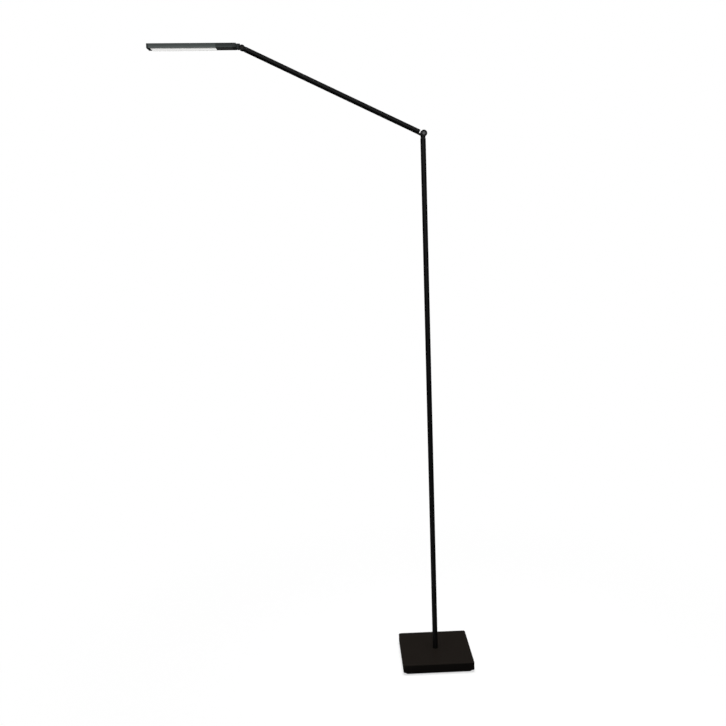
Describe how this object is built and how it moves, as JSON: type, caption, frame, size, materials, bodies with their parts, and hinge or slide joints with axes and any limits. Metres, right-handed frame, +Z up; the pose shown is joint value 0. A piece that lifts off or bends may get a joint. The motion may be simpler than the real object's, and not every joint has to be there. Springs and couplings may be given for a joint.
{
  "type": "pharmacy floor lamp",
  "caption": "Slim LED floor lamp: square weighted base, tall round pole, tilting arm and a flat bar head that tilts and rolls.",
  "frame": {"origin": "middle of the base pad's underside, on the floor", "axes": "+Z up along the pole, -X the way the arm and head reach, -Y the reader's side"},
  "size_m": [0.7895, 0.19, 1.6653],
  "materials": {
    "base_black": "satin powder coat, brown-black",
    "plate_black": "matt black coat",
    "tube_black": "satin black powder coat",
    "weight_iron": "as cast",
    "plain_steel": "zinc plated",
    "screw_steel": "black oxide",
    "pin_steel": "dark nickel",
    "dark_steel": "black nickel",
    "bush_brass": "turned",
    "bush_black": "acetal, turned",
    "neck_grey": "dark grey anodised",
    "head_grey": "dark grey anodised",
    "cap_grey": "matt dark grey",
    "panel_black": "matt black",
    "button_black": "satin black",
    "jack_black": "moulded black",
    "diffuser_white": "opal, lit",
    "board_white": "white solder mask",
    "board_green": "green solder mask",
    "led_yellow": "phosphor",
    "lead_black": "PVC sheath",
    "pad_rubber": "matt"
  },
  "bodies": {
    "stand": {"base_pad": "pad_rubber", "base_plate": "plate_black", "base_screws": "screw_steel", "base_weight": "weight_iron", "base_cover": "base_black", "dc_jack": "jack_black", "jack_nut": "pin_steel", "foot_spigot": "plain_steel", "foot_set_screw": "screw_steel", "foot_washer": "plain_steel", "foot_nut": "plain_steel", "lower_pole": "tube_black", "upper_pole": "tube_black", "pole_coupler": "plain_steel", "coupler_set_screws": "screw_steel", "swivel_bush": "bush_black", "pole_lead": "lead_black"},
    "elbow": {"elbow_fork": "tube_black", "swivel_ring": "plain_steel", "elbow_bolt": "pin_steel", "elbow_washers": "bush_brass", "elbow_spring_washer": "plain_steel", "elbow_nut": "pin_steel"},
    "arm": {"elbow_tang": "tube_black", "arm_tube": "tube_black", "arm_set_screws": "screw_steel", "arm_lead": "lead_black", "wrist_fork": "tube_black", "wrist_bolt": "dark_steel", "wrist_washers": "bush_brass", "wrist_nut": "dark_steel"},
    "neck": {"head_neck": "neck_grey", "neck_ring": "plain_steel"},
    "head": {"head_shell": "head_grey", "head_tip_cap": "cap_grey", "head_rear_cap": "cap_grey", "diffuser": "diffuser_white", "led_board": "board_white", "led_chips": "led_yellow", "switch_panel": "panel_black", "head_screws": "screw_steel", "dimmer_board": "board_green", "tact_switch": "jack_black", "head_lead": "lead_black"},
    "button": {"dimmer_button": "button_black"}
  },
  "joints": [
    {"name": "arm_swivel", "type": "hinge", "parent": "stand", "child": "elbow", "pos_m": [0, 0, 1.41], "axis": [0, 0, 1], "range_deg": [-170, 170]},
    {"name": "arm_tilt", "type": "hinge", "parent": "elbow", "child": "arm", "pos_m": [0.002, 0, 1.4247], "axis": [0, 1, 0], "range_deg": [-38, 60]},
    {"name": "head_tilt", "type": "hinge", "parent": "arm", "child": "neck", "pos_m": [-0.45415, 0, 1.65055], "axis": [0, 1, 0], "range_deg": [-75, 35]},
    {"name": "head_roll", "type": "hinge", "parent": "neck", "child": "head", "pos_m": [-0.45408, 0, 1.65445], "axis": [-0.9998, 0, 0.0201], "range_deg": [-90, 90]},
    {"name": "button_press", "type": "slide", "parent": "head", "child": "button", "axis": [0.0201, 0, 0.9998], "range_m": [0, 0.0008], "stiffness_N_per_m": 1500}
  ]
}
